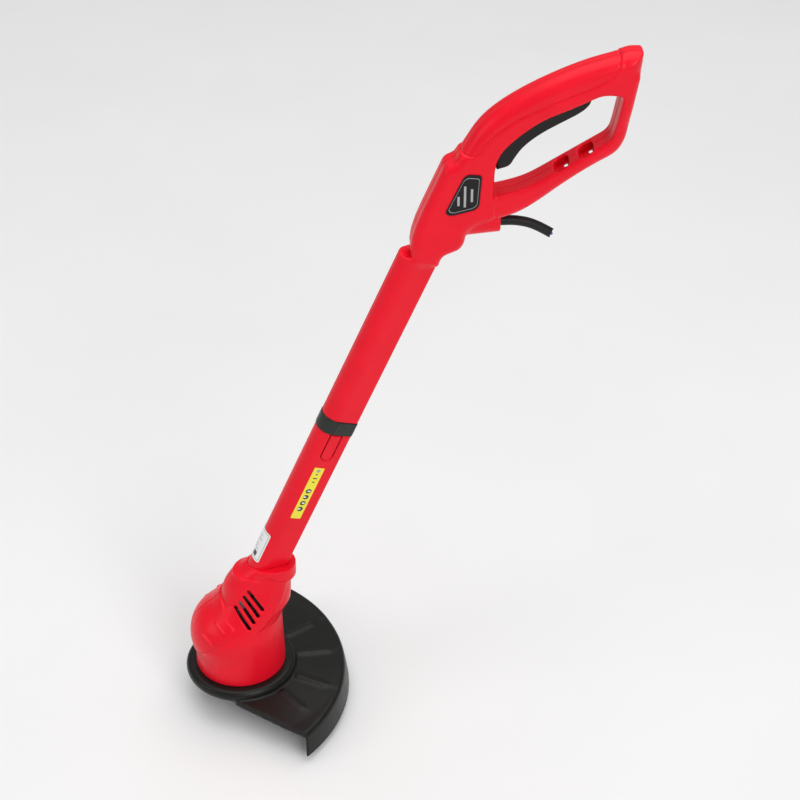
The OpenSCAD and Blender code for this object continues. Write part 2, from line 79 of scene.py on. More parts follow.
# side outlines, (x, height), with a corner radius where it isn't the usual one
GRIP = [(176, 522, 60), (217.5, 621, 5), (227, 625, 4), (234.5, 639, 14), (248.5, 663, 30),
        (269, 681.5, 30), (300, 700.5, 40), (341.5, 719.5, 40), (375, 729, 6), (384, 732.6, 5),
        (397, 732.5, 3), (396, 716, 30), (391, 685, 40), (385, 645.5, 7), (378, 631.5, 10),
        (358, 620, 30), (332, 602, 40), (305, 580, 20), (288, 569, 20), (268, 562, 20),
        (250, 558, 12), (239, 549, 8), (237.5, 537, 5), (233, 530, 4), (217, 523, 5),
        (212, 511, 4)]
HAND_LOOP = [(264, 589, 3), (285, 594, 12), (300, 600, 20), (322, 614, 20), (371, 645, 7),
             (375.5, 663, 30), (380, 691, 5), (362, 693, 12), (351, 688, 12), (332, 679, 20),
             (308, 669, 20), (290, 656, 20), (275, 642, 16), (268, 632, 12), (264, 618, 12)]
GRIP_TOP = [(224, 639, 2), (232, 634.5, 3), (243, 632.5, 6), (250, 637, 8), (257, 648, 20),
            (267, 658, 20), (282, 669, 20), (297, 677, 30), (326, 690, 30), (353, 701, 20),
            (369, 711, 5), (374, 721, 5), (378, 737, 5), (380, 760, 1), (200, 760, 1),
            (205, 639, 1)]
BADGE = [(218, 574, 3), (235, 612, 3), (239, 615, 2), (252, 614, 3), (250, 581, 3),
         (246, 577, 3), (223, 571, 3)]
TRIGGER = [(266, 613.5, 2), (279, 617.5, 5), (283, 626, 8), (291, 638, 10), (306, 650.5, 20),
           (324, 661, 20), (345, 672.5, 14), (353, 683, 6), (350, 697, 3), (337, 697, 3),
           (330, 686, 3), (304, 674, 14), (284, 658, 14), (267, 641, 10), (265, 630, 10)]
TRIGGER_SLOT = [(256, 606), (256, 642), (280, 668), (330, 700), (356, 700), (359, 686),
                (352, 670), (330, 650), (300, 625), (290, 606)]
TRIGGER_HALF, TRIGGER_PIN = 8.5, (342, 691)  # half its width, and its pivot
HUMP_PANEL = [(-15, 95), (-12.5, 81), (-6, 78, 4), (-2.8, 73, 4), (-7.4, 68, 4),
              (-25.2, 53.5), (-36, 42), (-46, 31), (-70, 3), (-70, 95)]
HUMP_RIBS = [((-22.9, 76.4), (-15.5, 71.4)), ((-37.3, 61.9), (-29.6, 56.9))]
VENTS = [((13.5 - 4.83 * i, 114 - 6.4 * i), (27.6 - 4.83 * i, 94.6 - 6.4 * i))
         for i in range(4)]
# the head's half width, front and back at rising heights
HEAD_RADIUS = ([0, 55, 66, 80, 95, 112, 124], [49.3, 47.6, 44.5, 38, 30, 24, 20.5])
HEAD_FRONT = ([0, 55, 66, 80, 95, 112, 124], [-49.3, -47.6, -42, -30, -17, -10, -3])
HEAD_BACK = ([0, 55, 70, 78, 90, 100, 115, 126], [49.3, 47.6, 47.3, 50.5, 57.5, 58.5, 59, 61])
COLLAR_BAND = [(70, 117), (58.5, 121), (35, 130), (24, 137), (24, 150), (70, 150)]
BODY_BAND = [(60, 130), (49, 100), (30, 73.5), (22, 69), (0, 66), (-30, 66), (-30, 130)]
HANDLE_SCREWS = [(198, 556), (230, 602), (246, 641), (367, 711), (365, 632), (287, 580)]
TUBE_SCREWS, TUBE_SCREW_DEPTH = [410, 500], 15  # along the tube, behind its front line
HEAD_SCREWS = [(41.5, 34), (-42, 34)]
POST_R, MOUTH_R = 5, 3.5  # a screw's post and its sunk mouth
RETAINERS = [(327, 617), (349.5, 631)]  # on the lower leg's upper face


def add_object(name, data):
    """A new object, linked to the scene."""
    made = bpy.data.objects.new(name, data)
    bpy.context.collection.objects.link(made)
    return made


# -------------------- outlines
def rounded(corners, radius=0.0, steps=6):
    """A closed outline whose corners, (x, y) or (x, y, radius), are blended by curves."""
    out = []
    count = len(corners)
    for i, corner in enumerate(corners):
        here = np.array(corner[:2], float)
        back = np.array(corners[i - 1][:2], float) - here
        ahead = np.array(corners[(i + 1) % count][:2], float) - here
        r = corner[2] if len(corner) > 2 else radius
        a, b = np.linalg.norm(back), np.linalg.norm(ahead)
        if r <= 0:
            out.append(here)
            continue
        start = here + back / a * min(r, a / 2)
        end = here + ahead / b * min(r, b / 2)
        for k in range(steps + 1):
            t = k / steps
            out.append((1 - t) ** 2 * start + 2 * t * (1 - t) * here + t * t * end)
    keep = [p for i, p in enumerate(out) if np.linalg.norm(p - out[i - 1]) > 1e-4]
    return np.array(keep)


def tube_outline(grow=0.0):
    """The tube's section as (depth behind the front centre line, side)."""
    back_x, back_y, back_r = TUBE_BACK
    reach = math.hypot(back_x, back_y)
    tilt = math.atan2(back_y, back_x) + math.acos((TUBE_R - back_r) / reach)
    big = [(TUBE_R + grow, a, 0, 0) for a in np.linspace(tilt, 2 * math.pi - tilt, 60)]
    low = [(back_r + grow, a, back_x, -back_y) for a in np.linspace(-tilt, 0, 8)]
    high = [(back_r + grow, a, back_x, back_y) for a in np.linspace(0, tilt, 8)]
    return np.array([(cx + r * math.cos(a), cy + r * math.sin(a))
                     for r, a, cx, cy in big + low + high])


def outline_distance(outline, u, v):
    """Signed distance of every (u, v) to a closed outline, negative inside."""
    u, v = np.broadcast_arrays(u, v)
    best = np.full(u.shape, 1e9, np.float32)
    inside = np.zeros(u.shape, bool)
    for (ax, ay), (bx, by) in zip(outline, np.roll(outline, -1, axis=0)):
        ex, ey = bx - ax, by - ay
        t = np.clip(((u - ax) * ex + (v - ay) * ey) / (ex * ex + ey * ey), 0, 1)
        best = np.minimum(best, (u - ax - t * ex) ** 2 + (v - ay - t * ey) ** 2)
        if ay != by:
            crosses = ((ay > v) != (by > v)) & (u < (v - ay) * ex / ey + ax)
            inside ^= crosses
    return np.where(inside, -1, 1) * np.sqrt(best)


def stroke_distance(a, b, u, v):
    """Distance of every (u, v) to the straight line from a to b."""
    ex, ey = b[0] - a[0], b[1] - a[1]
    t = np.clip(((u - a[0]) * ex + (v - a[1]) * ey) / (ex * ex + ey * ey), 0, 1)
    return np.hypot(u - a[0] - t * ex, v - a[1] - t * ey)


# -------------------- distance fields
class Grid:
    """A regular grid in millimetres. x, y and z broadcast to its whole array."""

    def __init__(self, low, high, step):
        self.low, self.step = np.array(low, float), step
        axes = [np.arange(a, b + step, step, dtype=np.float32) for a, b in zip(low, high)]
        self.x = axes[0][:, None, None]
        self.y = axes[1][None, :, None]
        self.z = axes[2][None, None, :]
        self.side = np.abs(self.y)
        self.shape = tuple(len(a) for a in axes)

    def in_side_view(self, outline):
        """Distance to an outline drawn in x and z, the same at every y."""
        flat = outline_distance(outline, self.x[:, 0, :], self.z[0, :, :])
        return flat[:, None, :].astype(np.float32)

    def in_plan(self, outline):
        """Distance to an outline drawn in x and y, the same at every z."""
        flat = outline_distance(outline, self.x[:, :, 0], self.y[:, :, 0])
        return flat[:, :, None].astype(np.float32)

    def tube_coordinates(self):
        """(depth, distance along the tube) of every x and z."""
        dx = self.x - AXIS_X
        along = dx * math.sin(LEAN) + self.z * math.cos(LEAN)
        depth = dx * math.cos(LEAN) - self.z * math.sin(LEAN)
        return depth, along

    def tube_section(self):
        """Distance to the tube's section, looked up in a fine table."""
        pitch, reach = 0.2, 60.0
        ticks = np.arange(-reach, reach + pitch, pitch, dtype=np.float32)
        table = outline_distance(tube_outline(), ticks[:, None], ticks[None, :])
        depth, _ = self.tube_coordinates()
        last = len(ticks) - 1
        i = np.clip((depth + reach) / pitch, 0, last - 1.001)
        j = np.clip((self.y + reach) / pitch, 0, last - 1.001)
        i0, j0 = i.astype(np.int32), j.astype(np.int32)
        fi, fj = i - i0, j - j0
        low = table[i0, j0] * (1 - fj) + table[i0, j0 + 1] * fj
        high = table[i0 + 1, j0] * (1 - fj) + table[i0 + 1, j0 + 1] * fj
        return (low * (1 - fi) + high * fi).astype(np.float32)

    def mesh(self, name, field, transform=TO_FRAME, smooth=2):
        """The closed surface where the field is zero, as an object."""
        volume = openvdb.FloatGrid(9.0)
        values = np.empty(self.shape, np.float32)
        values[...] = field
        volume.copyFromArray(values)
        points, triangles, quads = volume.convertToPolygons(isovalue=0.0, adaptivity=0.0)
        points = points * self.step + self.low
        faces = [tuple(f) for f in quads] + [tuple(f) for f in triangles]
        mesh = bpy.data.meshes.new(name)
        mesh.from_pydata([tuple(p) for p in points], [], faces)
        mesh.transform(transform)
        edit = bmesh.new()
        edit.from_mesh(mesh)
        bmesh.ops.recalc_face_normals(edit, faces=edit.faces)
        for _ in range(smooth):
            bmesh.ops.smooth_vert(edit, verts=edit.verts, factor=0.5, use_axis_x=True,
                                  use_axis_y=True, use_axis_z=True)
        edit.to_mesh(mesh)
        edit.free()
        mesh.shade_smooth()
        return add_object(name, mesh)


def join(a, b, blend):
    """Union of two fields, with a soft fillet."""
    h = np.clip(0.5 + 0.5 * (b - a) / blend, 0, 1)
    return b + (a - b) * h - blend * h * (1 - h)


def cut(a, b, blend=0.0):
    """Field a with b taken out, its edge rounded by blend."""
    return -join(-a, b, blend) if blend else np.maximum(a, -b)


def hollow(field, inside):
    return np.maximum(field, -inside)


def step_mask(distance, width=1.0):
    """1 inside an outline, 0 outside, with a soft change across its line."""
    return np.clip(0.5 - distance / width, 0, 1)


def groove(distance, width):
    """A rounded groove's profile, 1 on the line."""
    return np.exp(-(distance / width) ** 2)


def pillow(distance, side, half, inset, drop):
    """A side-view outline given thickness, its edges rounded to an ellipse."""
    u = np.maximum(distance + inset, 0) / inset
    v = np.maximum(side - (half - drop), 0) / drop
    edge = (np.sqrt(u * u + v * v) - 1) * min(inset, drop)
    flat = np.maximum(distance + inset, side - (half - drop))
    return np.where(flat > 0, edge, np.maximum(flat - min(inset, drop), -30))


HALF_GAP = 0.06  # each half stops this far from y = 0


def halves(grid, field, name, matter, body="casing"):
    """The left and right mouldings that meet at y = 0, each its own closed piece."""
    for side, sign in (("left", 1), ("right", -1)):
        half = np.maximum(field, sign * grid.y + HALF_GAP)
        finish(grid.mesh(f"{name}_{side}", half), matter, body, f"{name}_{side}")


# -------------------- materials
GLOSS_SPREAD = 0.08  # how far roughness wanders either way


def material(name, colour, rough, metal=0.0, coat=0.0, second=None, patch=30.0, grain=900.0,
             bump=0.05, wear=0.0, gloss_level=0.5):
    """A moulded or metal finish: soft colour patches, uneven gloss, fine grain, light wear."""
    made = bpy.data.materials.new(name)
    made.use_nodes = True
    nodes, links = made.node_tree.nodes, made.node_tree.links
    shader = nodes["Principled BSDF"]
    for socket, value in (("Metallic", metal), ("Specular IOR Level", gloss_level),
                          ("Coat Weight", coat), ("Coat Roughness", 0.25)):
        shader.inputs[socket].default_value = value
    place = nodes.new("ShaderNodeTexCoord")

    def noise(scale, detail=3.0):
        made_noise = nodes.new("ShaderNodeTexNoise")
        made_noise.inputs["Scale"].default_value = scale
        made_noise.inputs["Detail"].default_value = detail
        links.new(place.outputs["Object"], made_noise.inputs["Vector"])
        return made_noise.outputs["Fac"]

    second = second or tuple(c * 0.82 for c in colour)
    tones = nodes.new("ShaderNodeValToRGB")
    for stop, position, tone in zip(tones.color_ramp.elements, (0.32, 0.68), (second, colour)):
        stop.position, stop.color = position, (*tone, 1)
    links.new(noise(patch), tones.inputs["Fac"])
    shade = tones.outputs["Color"]
    if wear:
        rubbed = nodes.new("ShaderNodeNewGeometry")
        edge = nodes.new("ShaderNodeMapRange")
        for socket, value in (("From Min", 0.53), ("From Max", 0.62), ("To Max", wear)):
            edge.inputs[socket].default_value = value
        links.new(rubbed.outputs["Pointiness"], edge.inputs["Value"])
        mix = nodes.new("ShaderNodeMix")
        mix.data_type = "RGBA"
        mix.inputs["B"].default_value = (*[min(1, c * 1.3 + 0.08) for c in colour], 1)
        links.new(edge.outputs["Result"], mix.inputs["Factor"])
        links.new(shade, mix.inputs["A"])
        shade = mix.outputs["Result"]
    links.new(shade, shader.inputs["Base Color"])
    gloss = nodes.new("ShaderNodeMapRange")
    gloss.inputs["To Min"].default_value = rough - GLOSS_SPREAD
    gloss.inputs["To Max"].default_value = rough + GLOSS_SPREAD
    links.new(noise(patch * 4), gloss.inputs["Value"])
    links.new(gloss.outputs["Result"], shader.inputs["Roughness"])
    relief = nodes.new("ShaderNodeBump")
    relief.inputs["Strength"].default_value = bump
    relief.inputs["Distance"].default_value = 0.0004
    links.new(noise(grain, 2.0), relief.inputs["Height"])
    links.new(relief.outputs["Normal"], shader.inputs["Normal"])
    return made


MATTER = {
    "red": material("red_plastic", (0.86, 0.005, 0.022), 0.34, second=(0.80, 0.004, 0.019),
                    bump=0.08, wear=0.15, gloss_level=0.2),
    "black": material("black_plastic", (0.018, 0.018, 0.02), 0.42, bump=0.25, wear=0.3,
                      gloss_level=0.3),
    "guard": material("guard_plastic", (0.009, 0.009, 0.008), 0.36, bump=0.12, wear=0.2,
                      gloss_level=0.25),
    "trigger": material("trigger_plastic", (0.012, 0.012, 0.012), 0.5, bump=0.35, grain=1400,
                        gloss_level=0.25),
    "ring": material("ring_plastic", (0.020, 0.024, 0.020), 0.34, bump=0.2, gloss_level=0.3),
    "rubber": material("cord_rubber", (0.012, 0.012, 0.013), 0.5, bump=0.3, gloss_level=0.25),
    "steel": material("zinc_steel", (0.62, 0.63, 0.64), 0.28, metal=1.0, patch=120,
                      grain=2500, bump=0.15),
    "blade": material("blade_steel", (0.55, 0.56, 0.58), 0.22, metal=1.0, patch=200,
                      grain=3000, bump=0.2),
    "copper": material("copper", (0.78, 0.36, 0.18), 0.3, metal=1.0, patch=300, grain=2500),
    "magnet": material("ferrite", (0.06, 0.06, 0.065), 0.6, grain=1800, bump=0.4),
    "nylon": material("nylon_line", (0.86, 0.24, 0.03), 0.3, coat=0.3, patch=90),
    "white": material("white_plastic", (0.8, 0.8, 0.76), 0.4),
    "film": material("capacitor_film", (0.8, 0.5, 0.05), 0.3, coat=0.3),
    "blue": material("blue_insulation", (0.04, 0.12, 0.5), 0.4),
    "brown": material("brown_insulation", (0.16, 0.06, 0.02), 0.4),
    "badge": material("badge_film", (0.008, 0.008, 0.009), 0.35, coat=0.08, bump=0.02,
                      gloss_level=0.2),
    "silver": material("silver_print", (0.42, 0.42, 0.43), 0.35, bump=0.02),
    "yellow": material("yellow_film", (0.93, 0.80, 0.02), 0.3, coat=0.3, bump=0.02,
                       second=(0.86, 0.76, 0.02)),
    "ink": material("dark_ink", (0.035, 0.032, 0.02), 0.35, bump=0.02),
    "paper": material("white_film", (0.86, 0.88, 0.87), 0.3, coat=0.2, bump=0.02,
                      second=(0.80, 0.84, 0.83)),
    "grey": material("grey_print", (0.38, 0.42, 0.40), 0.35, bump=0.02),
}


def finish(piece, matter, body="casing", *nodes):
    """Gives a new piece its material and its body, and hides the CAD nodes that it stands for.
    """
    piece.data.materials.clear()
    piece.data.materials.append(MATTER[matter])
    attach(piece, body)
    if nodes:
        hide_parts(*nodes)
    return piece


def solid(name, points, faces, transform=TO_FRAME, smooth_angle=35):
    """A mesh object from points and faces, its normals turned outwards."""
    mesh = bpy.data.meshes.new(name)
    mesh.from_pydata([tuple(p) for p in points], [], [tuple(f) for f in faces])
    mesh.transform(transform)
    edit = bmesh.new()
    edit.from_mesh(mesh)
    bmesh.ops.remove_doubles(edit, verts=edit.verts, dist=1e-7)
    bmesh.ops.recalc_face_normals(edit, faces=edit.faces)
    edit.to_mesh(mesh)
    edit.free()
    mesh.shade_smooth()
    mesh.set_sharp_from_angle(angle=math.radians(smooth_angle))
    return add_object(name, mesh)


def prism_faces(n):
    """Faces of a closed prism whose two outlines have n points each."""
    sides = [[i, n + i, n + (i + 1) % n, (i + 1) % n] for i in range(n)]
    return [list(range(n)), list(range(2 * n - 1, n - 1, -1))] + sides


def lathe(name, profile, transform=TO_FRAME, sides=96, shape=None, smooth_angle=35):
    """Turns a profile, (radius, height), about Z. A closed ring unless it starts and ends on
    the axis. shape(radius, height, angle) may change the radius."""
    on_axis = profile[0][0] == 0 and profile[-1][0] == 0
    points, faces = [], []
    count = len(profile)
    for k in range(sides):
        a = 2 * math.pi * k / sides
        for r, z in profile:
            rr = shape(r, z, a) if shape else r
            points.append((rr * math.cos(a), rr * math.sin(a), z))
    for k in range(sides):
        here, there = k * count, (k + 1) % sides * count
        for i in range(count - 1 if on_axis else count):
            j = (i + 1) % count
            quad = [here + i, there + i, there + j, here + j]
            if on_axis and i == 0:
                quad = [here, there + 1, here + 1]
            elif on_axis and i == count - 2:
                quad = [here + i, there + i, here + i + 1]
            faces.append(quad)
    if on_axis:
        # every slice shares the two points on the axis
        share = {k * count: 0 for k in range(sides)}
        share.update({k * count + count - 1: count - 1 for k in range(sides)})
        faces = [[share.get(v, v) for v in f] for f in faces]
    return solid(name, points, faces, transform, smooth_angle)


def smooth_route(route, steps):
    """Points of a smooth curve through a route."""
    p = [np.array(v, float) for v in route]
    out = []
    last = len(p) - 1
    for i in range(last):
        a, b, c, d = p[max(i - 1, 0)], p[i], p[i + 1], p[min(i + 2, last)]
        for k in range(steps):
            t = k / steps
            out.append(0.5 * (2 * b + (c - a) * t + (2 * a - 5 * b + 4 * c - d) * t * t
                              + (3 * b - a - 3 * c + d) * t ** 3))
    out.append(p[last])
    return out


def sweep(name, centres, radius, sides=16, transform=TO_FRAME, end_shape=None):
    """A round tube along centres. end_shape(angle) pulls the last ring along the tube."""
    points, faces = [], []
    n = len(centres)
    up = np.array([0, 1.0, 0.001])
    for i in range(n):
        ahead = centres[min(i + 1, n - 1)] - centres[max(i - 1, 0)]
        ahead = ahead / np.linalg.norm(ahead)
        across = np.cross(ahead, up)
        across /= np.linalg.norm(across)
        up = np.cross(across, ahead)
        for k in range(sides):
            a = 2 * math.pi * k / sides
            pull = end_shape(a) if end_shape and i == n - 1 else 0.0
            points.append(centres[i] + radius * (math.cos(a) * across + math.sin(a) * up)
                          + ahead * pull)
    for i in range(n - 1):
        for k in range(sides):
            j = (k + 1) % sides
            faces.append((i * sides + k, i * sides + j, (i + 1) * sides + j,
                          (i + 1) * sides + k))
    points += [centres[0], centres[-1]]
    for k in range(sides):
        j = (k + 1) % sides
        faces.append((j, k, n * sides))
        faces.append(((n - 1) * sides + k, (n - 1) * sides + j, n * sides + 1))
    return solid(name, points, faces, transform, 50)


# -------------------- camera and cord
def make_camera():
    """Camera at the photograph's viewing angle."""
    azimuth, elevation, roll = math.radians(-2.57), math.radians(36), math.radians(0.04)
    target, distance = Vector((0.1765, 0, 0.3959)), 2.0402
    back = Vector((math.sin(azimuth) * math.cos(elevation),
                   -math.cos(azimuth) * math.cos(elevation), math.sin(elevation)))
    right = Vector((math.cos(azimuth), math.sin(azimuth), 0))
    up = back.cross(right)
    spin = Matrix.Rotation(roll, 3, back)
    right, up = spin @ right, spin @ up
    data = bpy.data.cameras.new("camera")
    data.sensor_width = 36.0
    data.lens = 90.54
    data.clip_end = 50
    camera = add_object("camera", data)
    turn = Matrix((right, up, back)).transposed().to_4x4()
    camera.matrix_world = Matrix.Translation(target + back * distance) @ turn
    bpy.context.scene.camera = camera


def make_cord():
    """The short mains cord, cut off a little way from its socket."""
    route = [(262, 0, 555), (273, 0, 555), (283, 0, 555), (291, 0, 554), (299, 0, 552),
             (307, 0, 548.5), (314, 0, 544.5), (321, 0, 540)]
    centres = smooth_route(route, 6)

    def ragged(angle):
        return 0.9 * math.sin(2 * angle + 0.6) + 0.45 * math.sin(5 * angle) - 0.4

    cord = sweep("mains_cord_sheath", centres, CORD_R, 32, end_shape=ragged)
    finish(cord, "rubber", "casing", "mains_cord")
    ahead = centres[-1] - centres[-2]
    ahead = ahead / np.linalg.norm(ahead)
    for side, matter in ((-1, "blue"), (1, "brown")):
        shift = np.array([0, side * 1.9, 0]) + np.array([ahead[2], 0, -ahead[0]]) * 0.4 * side
        start = centres[-1] + shift - ahead * 2
        core = sweep(f"cord_core_{matter}", [start, start + ahead * 1.6, start + ahead * 3.1],
                     1.35, 16)
        finish(core, matter)
        wire = sweep(f"cord_wire_{matter}", [start, start + ahead * 2, start + ahead * 3.7],
                     0.7, 10)
        finish(wire, "copper")


make_camera()
make_cord()


# -------------------- handle
def handle_field(grid):
    """The handle with its loop, the upper tube and the cord socket."""
    outline = grid.in_side_view(rounded(GRIP))
    loop = grid.in_side_view(rounded(HAND_LOOP))
    top = grid.in_side_view(rounded(GRIP_TOP))
    half = HANDLE_R - 1.8 * np.clip((grid.x - 263.5) / 1.6, 0, 1) * step_mask(
        grid.z - (592 + 0.62 * (grid.x - 264)), 14.0)
    body = pillow(outline, grid.side, half, 9.5, 8.5)
    crown = pillow(outline, grid.side, half, 13.0, 14.5)
    tail = np.maximum(376 - grid.x, 712 - grid.z)
    body = body + (crown - body) * step_mask(np.minimum(top, tail) - 1, 7.0)
    depth, along = grid.tube_coordinates()
    tube = np.maximum(grid.tube_section(), np.maximum(RING_END - along, along - 562))
    field = join(body, tube, 2.0 + 7.0 * np.clip((grid.side - 5) / 8, 0, 1))
    round_cord = np.hypot(grid.y, grid.z - CORD_Z)
    taper = np.clip((grid.x - 236) / 36, 0, 1)
    ends = np.maximum(230 - grid.x, grid.x - 272)
    socket = -join(-(round_cord - 13.5 + 3.2 * taper), -ends, 1.5)
    field = join(field, socket, 2.5)
    brow = step_mask(np.abs(grid.x - 250) - 10, 4) * (grid.z > CORD_Z + 3)
    field = field + 0.9 * brow * groove(round_cord - 15.5, 0.9)
    field = cut(field, loop, 5.0)
    outer = field
    # the grip's rounded top sits a little lower, behind a groove
    field = field + 0.7 * step_mask(top, 1.6) + 1.5 * groove(top, 0.7)
    badge = grid.in_side_view(rounded(BADGE))
    field = field + 0.7 * step_mask(badge - 0.6, 1.0) * (grid.y < 0)
    field = hollow(field, np.maximum(field + WALL, RING_END - 3 - along))
    # each screw's distance field, and how deep its mouth goes
    seats = [(np.hypot(grid.x - x, grid.z - z), 13) for x, z in HANDLE_SCREWS]
    seats += [(np.hypot(depth - TUBE_SCREW_DEPTH, along - d), 7) for d in TUBE_SCREWS]
    for reach, _ in seats:
        field = np.minimum(field, np.maximum(reach - POST_R, outer + 0.8))
    slot = grid.in_side_view(np.array(TRIGGER_SLOT, float))
    field = cut(field, np.maximum(slot, grid.side - TRIGGER_HALF - 0.5))
    field = cut(field, np.maximum(round_cord - CORD_R - 0.1,
                                  np.maximum(240 - grid.x, grid.x - 290)))
    for reach, floor in seats:
        field = cut(field, np.maximum(reach - MOUTH_R, floor - grid.y), 0.6)
    tilt = math.radians(32)
    for x, z in RETAINERS:
        a = (grid.x - x) * math.cos(tilt) + (grid.z - z) * math.sin(tilt)
        b = -(grid.x - x) * math.sin(tilt) + (grid.z - z) * math.cos(tilt)
        housing = np.maximum(np.maximum(np.abs(a) - 10.5, np.abs(b + 2) - 8), grid.side - 16)
        field = np.minimum(field, np.maximum(housing, outer + 0.3))
        mouth = np.hypot(np.maximum(np.abs(a) - 2.5, 0),
                         np.maximum(np.abs(grid.y + 2) - 5.5, 0)) - 5.5
        mouth = np.maximum(mouth, np.maximum(-7 - b, b - 9))
        under = np.maximum(np.maximum(np.abs(a) - 7.5, np.abs(grid.y - 6) - 7),
                           np.abs(b + 4.7) - 2.3)
        chute = np.maximum(-7 - b, 0)
        across = np.abs(grid.y - 2.7 - 1.2 * chute) - 2.2 - 0.3 * chute
        slit = np.maximum(np.maximum(np.abs(a - 3.2 + 0.62 * chute) - 2.6, across),
                          np.abs(b + 10) - 15)
        field = cut(field, np.minimum(mouth, under), 1.2)
        field = cut(field, slit, 0.4)
    return field + 0.3 * groove(grid.y, 0.6)


handle_grid = Grid((88, -19, 318), (400, 19, 735), FINE)
halves(handle_grid, handle_field(handle_grid), "handle_shell", "red")


# -------------------- trigger
def make_trigger():
    grid = Grid((262, -10, 611), (356, 10, 700), FINE * 0.75)
    outline = grid.in_side_view(rounded(TRIGGER))
    field = pillow(outline, grid.side, TRIGGER_HALF, 3.2, 3.2)
    field = cut(field, np.hypot(grid.x - TRIGGER_PIN[0], grid.z - TRIGGER_PIN[1]) - 2.6)
    finish(grid.mesh("trigger_lever", field), "trigger", "trigger_lever", "trigger")


make_trigger()


# -------------------- tube, ring and latch
def tube_grid(start, end, step):
    """A grid whose x is the depth behind the tube's front line and z runs along the tube."""
    grid = Grid((-17.5, -17.5, start), (27, 17.5, end), step)
    grid.section = grid.in_plan(tube_outline())
    return grid


def tab_field(grid, grow):
    """The latch tab's outline on the tube's left side."""
    left, right, low = 2.5, 14.0, 308.0
    middle, half = (left + right) / 2, (right - left) / 2
    across = np.abs(grid.x - middle) - half
    end = np.hypot(grid.x - middle, grid.z - low - half) - half
    outline = np.where(grid.z < low + half, end, across)
    return np.maximum(np.maximum(outline - grow, grid.z - RING_START + 1.2 - grow), grid.y)


def make_lower_tube():
    grid = tube_grid(TUBE_START - 2, SPIGOT_END + 2, FINE)
    main = np.maximum(grid.section, grid.z - RING_START)
    spigot = np.maximum(grid.section + SPIGOT_INSET, grid.z - SPIGOT_END)
    field = np.maximum(np.minimum(main, spigot), TUBE_START - grid.z)
    inset = np.where(grid.z < 292, WALL, SPIGOT_INSET + 2)
    field = np.maximum(field, -(grid.section + inset))
    field = cut(field, tab_field(grid, 0.8), 0.5)
    finish(grid.mesh("tube_lower", field, ALONG_TUBE), "red", "casing", "lower_tube")


def make_latch():
    grid = tube_grid(306, RING_START + 1, FINE * 0.6)
    shell = np.maximum(grid.section, -(grid.section + 2.3))
    field = -join(-shell, -tab_field(grid, 0.0), 0.5)
    finish(grid.mesh("latch_tab_skin", field, ALONG_TUBE), "red", "latch", "latch_tab")


def make_ring():
    grid = tube_grid(RING_START - 1, RING_END + 1, FINE * 0.6)
    outer = grid.section - 0.6
    ends = np.abs(grid.z - (RING_START + RING_END) / 2) - (RING_END - RING_START) / 2
    field = -join(-outer, -ends, 1.0)
    edge = np.hypot(grid.x - 4.2, np.abs(grid.y) - 14.85) - 0.75
    field = join(field, np.maximum(edge, ends + 1.2), 0.6)
    field = np.maximum(field, -(grid.section + SPIGOT_INSET))
    finish(grid.mesh("ring_coupling", field, ALONG_TUBE), "ring", "casing", "coupling_ring")


make_lower_tube()
make_latch()
make_ring()


# -------------------- stickers and badge
def decal(name, rows, place, thick, matter, *nodes):
    """A thin closed film. rows are (height, low, high); place(across, height, lift) is a
    point of the surface it lies on."""
    across = 14
    points, faces = [], []
    for lift in (0.0, thick):
        for height, low, high in rows:
            for k in range(across + 1):
                points.append(place(low + (high - low) * k / across, height, lift))
    n = len(rows)
    width = across + 1

    def at(layer, row, k):
        return layer * n * width + row * width + k

    for row in range(n - 1):
        for k in range(across):
            for layer in (0, 1):
                faces.append([at(layer, row, k), at(layer, row, k + 1),
                              at(layer, row + 1, k + 1), at(layer, row + 1, k)])
    rim = ([(0, k) for k in range(width)] + [(r, across) for r in range(1, n)]
           + [(n - 1, k) for k in range(across - 1, -1, -1)]
           + [(r, 0) for r in range(n - 2, 0, -1)])
    for (ra, ka), (rb, kb) in zip(rim, rim[1:] + rim[:1]):
        faces.append([at(0, ra, ka), at(0, rb, kb), at(1, rb, kb), at(1, ra, ka)])
    piece = solid(name, points, faces, smooth_angle=30)
    return finish(piece, matter, "casing", *nodes)


def box_rows(low, high, left, right, corner, steps=5):
    """Rows of a rectangle with rounded corners."""
    rows = []
    for k in range(steps + 1):
        a = math.pi / 2 * k / steps
        rows.append((low + corner * (1 - math.cos(a)), corner * (1 - math.sin(a))))
    rows += [(low + corner + (high - low - 2 * corner) * k / 8, 0) for k in range(1, 8)]
    rows += [(low + high - height, inset) for height, inset in rows[steps::-1]]
    return [(height, left + inset, right - inset) for height, inset in rows]


def disc_rows(height, across, radius, steps=12):
    """Rows of a round mark."""
    angles = [math.pi * k / steps for k in range(steps + 1)]
    return [(height - radius * math.cos(a), across - radius * max(math.sin(a), 0.02),
             across + radius * max(math.sin(a), 0.02)) for a in angles]


FILM, INK, ON_FILM = 0.12, 0.05, 0.13  # thickness of film and ink, and a print's height
SKIN_GAP = 0.12  # room between the tube and a film
SECTION = tube_outline()
SECTION_STEP = np.linalg.norm(np.roll(SECTION, -1, axis=0) - SECTION, axis=1)
FRONT = int(np.argmin(SECTION[:, 0]))


